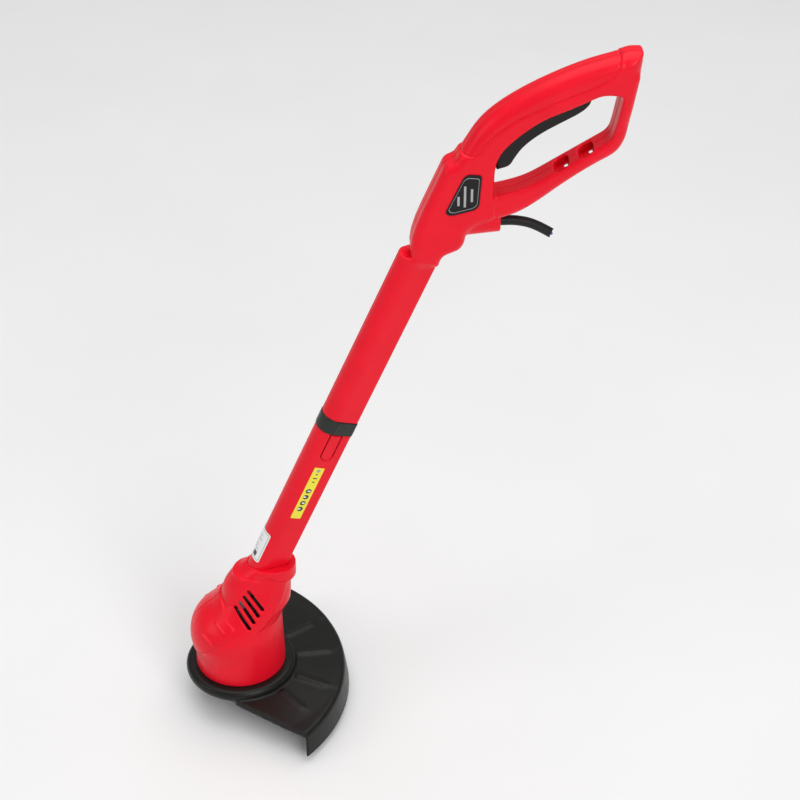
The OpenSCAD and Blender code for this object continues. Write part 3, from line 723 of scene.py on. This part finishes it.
def on_tube(arc, along, lift):
    """Point of the tube's skin: arc millimetres round from its front line, left positive."""
    i, rest = FRONT, abs(arc)
    way = 1 if arc > 0 else -1
    count = len(SECTION)
    while True:
        step = SECTION_STEP[i] if way > 0 else SECTION_STEP[i - 1]
        if rest <= step:
            break
        rest -= step
        i = (i + way) % count
    a, b = SECTION[i], SECTION[(i + way) % count]
    point = a + (b - a) * rest / step
    along_skin = (b - a) / np.linalg.norm(b - a) * way
    normal = np.array([along_skin[1], -along_skin[0]])
    point = point + normal * (SKIN_GAP + lift)
    return TO_FRAME.inverted() @ ALONG_TUBE @ Vector((point[0], point[1], along))


def printed(lift):
    """on_tube for a mark that lies on a film, lift above the tube's skin."""
    return lambda arc, along, up: on_tube(arc, along, up + lift)


def arc_at(depth):
    """Arc length round the left side to a depth behind the front line."""
    total, i = 0.0, FRONT
    while SECTION[i + 1][0] < depth:
        total += SECTION_STEP[i]
        i += 1
    part = (depth - SECTION[i][0]) / (SECTION[i + 1][0] - SECTION[i][0])
    return total + SECTION_STEP[i] * part


def make_side_sticker():
    """Yellow strip with generic round marks in place of printed symbols."""
    left, right = arc_at(1.8), arc_at(12.8)
    middle = (left + right) / 2
    low, high = 226.0, 297.0
    decal("sticker_yellow", box_rows(low, high, left, right, 0.8), on_tube, FILM, "yellow",
          "side_sticker")
    for i in range(4):
        height = low + 13.5 + 8.4 * i
        decal(f"mark_disc_{i}", disc_rows(height, middle, 3.1), printed(ON_FILM), INK, "ink")
        tilt = 0.9 if i % 2 else -0.9
        decal(f"mark_bar_{i}", box_rows(height - 1.0, height + 1.0, middle - 2 + tilt,
                                        middle + 1.2 + tilt, 0.5, 3),
              printed(ON_FILM + 0.06), INK, "paper")
    for i, half in enumerate((1.6, 2.2, 1.2)):
        height = low + 51.5 + 5.2 * i
        decal(f"mark_line_{i}", box_rows(height - 0.7, height + 0.7, middle - half,
                                         middle + half, 0.3, 3), printed(ON_FILM), INK, "ink")
    decal("mark_ring", disc_rows(high - 4.2, middle, 2.2), printed(ON_FILM), INK, "grey")


def make_front_sticker():
    """White film round the tube's front, with a fine border and plain grey bars."""
    low, high, half = 154.0, 194.0, 15.5
    decal("sticker_white", box_rows(low, high, -half, half, 2.6), on_tube, FILM, "paper",
          "front_sticker")
    over, print_thick = printed(ON_FILM), 0.04
    inset, line = 1.9, 0.6
    for side in (-1, 1):
        edge = side * (half - inset)
        decal(f"border_side_{side + 1}", box_rows(low + inset, high - inset, edge - line / 2,
                                                  edge + line / 2, 0.1, 2),
              over, print_thick, "grey")
    for k, height in enumerate((low + inset, high - inset)):
        decal(f"border_end_{k}", box_rows(height - line / 2, height + line / 2, -half + inset,
                                          half - inset, 0.1, 2), over, print_thick, "grey")
    for k in range(5):
        height = low + 14 + 4.2 * k
        decal(f"print_bar_{k}", box_rows(height - 0.5, height + 0.5, -8.5 + 1.5 * (k % 2),
                                         7.5 - 2.2 * (k % 3), 0.2, 2), over, print_thick, "grey")
    decal("print_block", box_rows(low + 4.4, low + 10.4, 2.5, 8.5, 0.5, 3), over, print_thick,
          "ink")


def make_badge():
    """Dark badge in its recess, with a silver inner line and plain bars for print."""
    face = HANDLE_R - 0.1

    def plate(name, outline, near, far, matter, *nodes):
        points = [(x, -depth, z) for depth in (near, far) for x, z in outline]
        return finish(solid(name, points, prism_faces(len(outline))), matter, "casing", *nodes)

    outline = rounded(BADGE)
    plate("badge_film_plate", outline, face - 0.5, face + 0.25, "badge", "badge_plate")
    centre = outline.mean(axis=0)
    line = [centre + (outline - centre) * share for share in (0.86, 0.835)]
    n = len(outline)
    points = [(x, -face - lift, z) for lift in (0.2, 0.32) for ring in line for x, z in ring]
    faces = []
    for i in range(n):
        j = (i + 1) % n
        faces += [[i, j, n + j, n + i], [2 * n + i, 3 * n + i, 3 * n + j, 2 * n + j],
                  [i, 2 * n + i, 2 * n + j, j], [n + i, n + j, 3 * n + j, 3 * n + i]]
    finish(solid("badge_line", points, faces), "silver")
    for k, (x, low, high) in enumerate(((230.5, 582, 592), (236.5, 580.5, 603),
                                        (243.0, 586, 600))):
        bar = rounded([(x - 1.1, low, 0.4), (x + 1.1, low, 0.4), (x + 1.1, high, 0.4),
                       (x - 1.1, high, 0.4)])
        plate(f"badge_bar_{k}", bar, face + 0.2, face + 0.32, "silver")


make_side_sticker()
make_front_sticker()
make_badge()


# -------------------- motor head
def segment_distance(x, y, start, end):
    """Distance in plan to a stretch of the x axis."""
    return np.hypot(x - np.clip(x, start, end), y)


def head_outer(grid):
    """The cone, the body that leans back to the neck, the round front and the domed cowl."""
    x, y, z = grid.x, grid.y, grid.z
    radius = np.interp(z, *HEAD_RADIUS)
    low = np.interp(z, *HEAD_FRONT) + radius
    high = np.maximum(np.interp(z, *HEAD_BACK) - radius, low)
    body = 0.85 * (segment_distance(x, y, low, high) - radius)
    band = grid.in_side_view(rounded(BODY_BAND, 6))
    body = body - 0.9 * step_mask(band, 3.0) * np.clip((x - 8) / 14, 0, 1)
    body = np.maximum(body, np.maximum(-z, z - 126))
    t = np.clip((z - 104) / 18, 0, 1)
    radius = 19.5 + 1.2 * t
    rise = np.clip((z - 104) / 34, 0, 1)
    low = 15 - 29 * (1 - rise ** 1.5) ** 0.85 + radius
    high = np.maximum(9 + 34 * t, low)
    cowl = 0.8 * (segment_distance(x, y, low, high) - radius)
    collar = grid.in_side_view(np.array(COLLAR_BAND, float))
    cowl = cowl - 1.2 * step_mask(collar, 1.2) + 0.4
    cowl = -join(-np.maximum(cowl, 100 - z), 137.5 - z, 1.0)
    hump = np.sqrt((x + 10) ** 2 + (y * 42 / 47) ** 2 + (z - 42) ** 2) - 42
    hump = np.maximum(hump, 6 - z)
    base = join(body, cowl, 1.5 + 5.0 * np.clip((25 - x) / 20, 0, 1))
    base = join(base, hump, 3.0)
    panel = grid.in_side_view(rounded(HUMP_PANEL, 6))
    base = base - 1.7 * step_mask(panel, 1.4)
    for a, b in HUMP_RIBS:
        line = stroke_distance(a, b, x, z)
        base = base - 1.8 * step_mask(line - 1.2, 1.2) * np.clip((grid.side - 14) / 4, 0, 1)
    return base


def head_field(grid):
    x, y, z = grid.x, grid.y, grid.z
    outer = head_outer(grid)
    field = hollow(outer, np.maximum(outer + WALL, 3 - z))
    for px, pz in HEAD_SCREWS:
        reach = np.hypot(x - px, z - pz)
        field = np.minimum(field, np.maximum(reach - POST_R, outer + 1))
        field = cut(field, np.maximum(reach - MOUTH_R, 10.5 - y), 0.6)
    for a, b in VENTS:
        field = cut(field, np.maximum(stroke_distance(a, b, x, z) - 1.8, 10 - grid.side), 0.7)
    depth, along = grid.tube_coordinates()
    field = cut(field, np.maximum(grid.tube_section() - 0.15, 100 - along), 0.2)
    field = cut(field, np.maximum(np.hypot(x, y) - 16, z - 20))
    return field + 0.3 * groove(y, 0.6)


head_grid = Grid((-55, -52, -1.6), (66, 52, 141), FINE * 0.9)
halves(head_grid, head_field(head_grid), "head_shell", "red")


# -------------------- guard
GUARD_BACK = -48.6  # centre of the guard's rear arc
GUARD_R, GUARD_TOP_R = 168.0, 163.0  # that arc at the skirt's foot and at its top
COLLAR_R = 61.0
SKIRT = -42.0
FAN_RIBS = [38.0, 10.0, -22.0, -47.0]  # directions of the fan's radial ribs, degrees
WEDGE = [(-5, -61), (76, -113), (130, -147.7), (130, 240), (-5, 61)]


def make_guard():
    grid = Grid((-62.5, -117, -43.5), (121, 139, 2), FINE)
    x, y, z = grid.x, grid.y, grid.z
    r = np.hypot(x, y)
    turn = np.degrees(np.arctan2(y, x))
    top = -8.0 - 4.2 * np.clip((r - 62) / 50, 0, 1)
    for at in FAN_RIBS:
        across = (turn - at) * r / 57.3
        reach = np.clip((r - 62) / 5, 0, 1) * np.clip((106 - r) / 8, 0, 1)
        top = top + 1.5 * reach * groove(across, 4.0) - 0.4 * np.clip(0.5 - across / 6, 0, 1)
    far = np.hypot(x - GUARD_BACK, y)
    drop = np.clip((top - z) / (top - SKIRT), 0, 1)
    edge = GUARD_TOP_R + (GUARD_R - GUARD_TOP_R) * drop ** 0.8
    wedge = grid.in_plan(rounded(WEDGE, 3)) - 5.0 * drop * (y < 0)
    skirt = far - edge
    shell = -join(-skirt, top - z, 5.0)
    inner = -join(-(skirt + WALL), top - WALL - z, 3.0)
    inner = np.maximum(inner, np.minimum(wedge + WALL, z - top + 6.5))
    fan = np.maximum(shell, wedge)
    fan = cut(fan, inner)
    fan = np.maximum(fan, SKIRT - z)
    collar = -join(-(r - COLLAR_R), -np.maximum(z, -14 - z), 8.0)
    field = join(fan, collar, 2.5)
    field = cut(field, -join(-(r - COLLAR_R + WALL), -(z + WALL), 8.0))
    field = cut(field, r - 18)
    finish(grid.mesh("guard_moulding", field), "guard", "casing", "guard")


make_guard()


# -------------------- cutting head
def ring_profile_turn(low, high, inner, outer, turns, steps=6):
    """Profile of line wound side by side: a ring whose outside bulges at each turn."""
    pitch = (high - low) / turns
    profile = [(inner, high), (inner, low)]
    for k in range(turns):
        middle = low + pitch * (k + 0.5)
        for i in range(steps + 1):
            a = math.pi * (i / steps - 0.5) * 0.96
            profile.append((outer - pitch / 2 * (1 - math.cos(a)),
                            middle + pitch / 2 * math.sin(a)))
    return profile


def make_cutting_head():
    def knob_shape(r, z, a):
        if r < 19 or not 3 < z < 13.5:
            return r
        return r - 1.1 * max(0.0, math.cos(10 * a)) ** 2

    knob = [(0, 0), (14.8, 0), (15.8, 0.3), (19.6, 3.6), (20, 4.4), (20, 13), (20, 14.8),
            (21.8, 14.8), (22, 15.0), (22, 16.6), (21.8, 16.8), (6, 16.8), (6, 23.2),
            (5.6, 23.6), (0, 23.6)]
    finish(lathe("knob_bump", knob, FROM_FOOT, 160, knob_shape), "black", "knob", "bump_knob")

    def cap_shape(r, z, a):
        if r < 35.5 or not 14.2 < z < 22.5:
            return r
        return r - 0.9 * max(0.0, math.cos(18 * a)) ** 3

    cap = [(20.3, 12.5), (33, 12.5), (35.2, 13.0), (36, 14.0), (36, 15), (36, 22), (36, 24),
           (32.6, 24), (32.6, 15.4), (31.6, 14.5), (20.3, 14.5)]
    finish(lathe("cap_spool", cap, FROM_FOOT, 216, cap_shape), "black", "rotor", "spool_cap")
    carrier = [(0, 40), (32.4, 40), (33, 39.4), (33, 24.2), (36, 24.2), (36, 31.8), (35.5, 32.2),
               (35.5, 33.2), (36, 33.6), (36, 42.4), (34.6, 44), (9, 44), (8, 45), (8, 54.4),
               (7.4, 55), (3.02, 55), (3.02, 42), (0, 42)]
    finish(lathe("carrier_spool", carrier, FROM_FOOT, 128), "black", "rotor", "spool_carrier")
    spool = [(6.06, 17.1), (30.2, 17.1), (30.5, 17.4), (30.5, 18.6), (30.2, 18.9), (13, 18.9),
             (13, 32.2), (30.2, 32.2), (30.5, 32.5), (30.5, 33.7), (30.2, 34), (10, 34),
             (10, 24), (6.06, 24)]
    finish(lathe("spool_for_line", spool, FROM_FOOT, 96), "black", "spool", "line_spool")
    finish(lathe("line_wound", ring_profile_turn(19.1, 32.0, 13.1, 26, 8), FROM_FOOT, 96,
                 smooth_angle=60), "nylon", "spool", "wound_line")
    eye = [(0.9, 32.4), (2.15, 32.4), (2.15, 36), (3.4, 36), (3.6, 36.4), (3.3, 37.0),
           (2.2, 37.3), (1.3, 37.0), (0.9, 36.3)]
    to_side = FROM_FOOT @ Matrix.Translation((0, 0, 28)) @ Matrix.Rotation(math.pi / 2, 4, "Y")
    finish(lathe("eyelet_line", eye, to_side, 40), "steel", "rotor", "line_eyelet")
    route = [(31.8, 0, 28), (42, 0, 28), (60, 0.5, 27.9), (80, 2.0, 27.7), (97, 4.2, 27.4),
             (107.8, 6.2, 27.2)]
    line = sweep("line_free_end", smooth_route(route, 5), 0.8, 14, FROM_FOOT,
                 end_shape=lambda a: 0.5 * math.sin(a))
    finish(line, "nylon", "rotor", "line_end")


def coil(name, radius, wire, low, high, turns, centre):
    """A compression spring with its end turns lying flat."""
    centres = []
    count = turns * 20
    for k in range(count + 1):
        t = k / count
        rise = np.clip((t * turns - 0.8) / (turns - 1.6), 0, 1)
        a = 2 * math.pi * turns * t
        centres.append(np.array([centre[0] + radius * math.cos(a), radius * math.sin(a),
                                 low + wire + (high - low - 2 * wire) * float(rise)]))
    for k in range(16):
        centres[k][2] += wire * 0.25 * k / 16
        centres[-1 - k][2] -= wire * 0.25 * k / 16
    return sweep(name, centres, wire, 8, FROM_FOOT)


def make_springs():
    spring = coil("spring_spool", 8.2, 0.6, 24.1, 39.9, 7, (0, 0))
    finish(spring, "steel", "rotor", "spool_spring")
    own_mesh(spring)
    spring = coil("spring_trigger", 3.4, 0.5, 733.0, 750.7, 8, (320, 0))
    finish(spring, "steel", "casing", "trigger_spring")
    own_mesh(spring)


# -------------------- blade and screws
BLADE_TURN, BLADE_SKEW = math.radians(-38), math.radians(10.4)
AT_BLADE = (FROM_FOOT @ Matrix.Rotation(BLADE_TURN, 4, "Z")
            @ Matrix.Translation((117.0, 0, 27.4)) @ Matrix.Rotation(BLADE_SKEW, 4, "Z"))


def make_blade():
    """Bent sheet with a ground cutting edge, its flange flat on the skirt."""
    profile = [(-7.0, 0.35), (-5.2, 1.2), (2.6, 1.2), (3.5, 0.9), (4.0, 0.2), (4.0, -7.0),
               (2.8, -7.0), (2.8, -0.6), (2.3, 0.0), (-5.2, 0.0)]
    points = [(x, y, z) for y in (-7.0, 7.0) for x, z in profile]
    blade = solid("blade_cutter", points, prism_faces(len(profile)), AT_BLADE, 30)
    finish(blade, "blade", "casing", "cutter_blade")


def screw_mesh(head_r, head_h, shank_r, length):
    """One screw along +Z with a cross recess in its head, at the bottom, and a thread."""
    step = 0.25
    grid = Grid((-head_r - 1, -head_r - 1, -1), (head_r + 1, head_r + 1, length + 1), step)
    r = np.hypot(grid.x, grid.y)
    turn = np.arctan2(grid.y, grid.x)
    head = -join(-(r - head_r), -np.maximum(-grid.z, grid.z - head_h), 0.9)
    cross = np.minimum(np.maximum(np.abs(grid.x) - 0.45, grid.side - 1.7),
                       np.maximum(np.abs(grid.y) - 0.45, np.abs(grid.x) - 1.7))
    head = np.maximum(head, -np.maximum(cross + 0.25 * grid.z, grid.z - 1.3))
    thread = r - shank_r + 0.14 - 0.14 * np.cos(2 * math.pi * grid.z / 1.5 - turn)
    point = np.clip((grid.z - length + 3) / 3, 0, 1)
    shank = np.maximum(thread + 0.8 * point,
                       np.maximum(head_h * 0.5 - grid.z, grid.z - length))
    field = join(head, shank, 0.3)
    piece = grid.mesh("screw_pattern", field, FROM_FOOT, smooth=1)
    pattern = piece.data
    bpy.data.objects.remove(piece)
    return pattern


def make_screws(name, node, sizes, places):
    """Copies of one screw, at each placing matrix in millimetres from the foot."""
    pattern = screw_mesh(*sizes)
    whole = bmesh.new()
    for place in places:
        one = pattern.copy()
        one.transform(FROM_FOOT @ place @ FROM_FOOT.inverted())
        whole.from_mesh(one)
        bpy.data.meshes.remove(one)
    mesh = bpy.data.meshes.new(name)
    whole.to_mesh(mesh)
    whole.free()
    mesh.shade_smooth()
    finish(add_object(name, mesh), "steel", "casing", node)


def make_all_screws():
    to_left = Matrix.Rotation(math.pi / 2, 4, "X")
    at = Matrix.Translation
    in_handle = [at((x, 15.5, RIM_Z + z)) @ to_left for x, z in HANDLE_SCREWS]
    make_screws("screws_grip", "handle_screws", (3.2, 2.4, 1.6, 27), in_handle)
    up_tube = FROM_FOOT.inverted() @ ALONG_TUBE
    in_tube = [up_tube @ at((TUBE_SCREW_DEPTH, 9.5, d)) @ to_left for d in TUBE_SCREWS]
    make_screws("screws_tube", "handle_screws", (3.2, 2.4, 1.6, 17), in_tube)
    in_head = [at((x, 13, RIM_Z + z)) @ to_left for x, z in HEAD_SCREWS]
    make_screws("screws_head", "head_screws", (3.2, 2.4, 1.6, 24), in_head)
    under = [Matrix.Rotation(math.radians(t), 4, "Z") @ at((42, 0, RIM_Z - WALL - 2.2))
             for t in (60, 180, 300)]
    make_screws("screws_guard", "guard_screws", (3.4, 2.2, 1.6, 12), under)
    down = Matrix.Rotation(math.pi, 4, "X")
    clamp = [at((241, side * 8.5, RIM_Z + CORD_Z + 9.3)) @ down for side in (-1, 1)]
    make_screws("screws_clamp", "clamp_screws", (2.6, 2.0, 1.4, 12.5), clamp)
    blade = FROM_FOOT.inverted() @ AT_BLADE @ at((1.0, 0, -4)) @ Matrix.Rotation(
        math.pi / 2, 4, "Y")
    make_screws("screw_blade", "blade_screw", (2.6, 1.8, 1.5, 4.2), [blade])


make_cutting_head()
make_springs()
make_blade()
make_all_screws()


# -------------------- the stage
def make_stage():
    mesh = bpy.data.meshes.new("floor")
    reach, level = 6.0, -0.0005
    corners = ((-1, -1), (1, -1), (1, 1), (-1, 1))
    mesh.from_pydata([(reach * i, reach * j, level) for i, j in corners], [], [(0, 1, 2, 3)])
    floor = add_object("floor", mesh)
    pale = material("pale_floor", (0.86, 0.86, 0.86), 0.7, second=(0.84, 0.84, 0.84), patch=3,
                    bump=0.0)
    mesh.materials.append(pale)
    bpy.context.scene.view_settings.view_transform = "Standard"
    world = bpy.data.worlds.new("studio")
    world.use_nodes = True
    world.node_tree.nodes["Background"].inputs["Color"].default_value = (1, 1, 1, 1)
    world.node_tree.nodes["Background"].inputs["Strength"].default_value = 0.32
    bpy.context.scene.world = world
    for name, place, size, power in (("overhead", (0.2, 0.6, 4.2), 4.5, 125),
                                     ("key", (1.5, -3.0, 2.5), 2.0, 64),
                                     ("fill", (-3.0, -1.0, 1.8), 1.6, 16)):
        data = bpy.data.lights.new(name, "AREA")
        data.size = size
        data.energy = power
        lamp = add_object(name, data)
        lamp.location = place
        aim = Vector((0.15, 0, 0.4)) - Vector(place)
        lamp.rotation_euler = aim.to_track_quat("-Z", "Y").to_euler()


make_stage()

# CAD nodes that keep their own shape, by finish
KEPT = {"steel": ["trigger_pin", "motor_can", "lower_bearing", "upper_bearing",
                  "motor_shaft", "armature_core"],
        "black": ["switch_body", "cord_clamp", "motor_end_cap", "cooling_fan"],
        "white": ["switch_plunger"], "film": ["capacitor"], "blue": ["supply_lead"],
        "rubber": ["inner_lead"], "magnet": ["field_magnets", "brushes"],
        "copper": ["armature_windings", "commutator"]}
for matter, node_names in KEPT.items():
    for node_name in node_names:
        for material_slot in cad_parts[node_name].material_slots:
            material_slot.material = MATTER[matter]
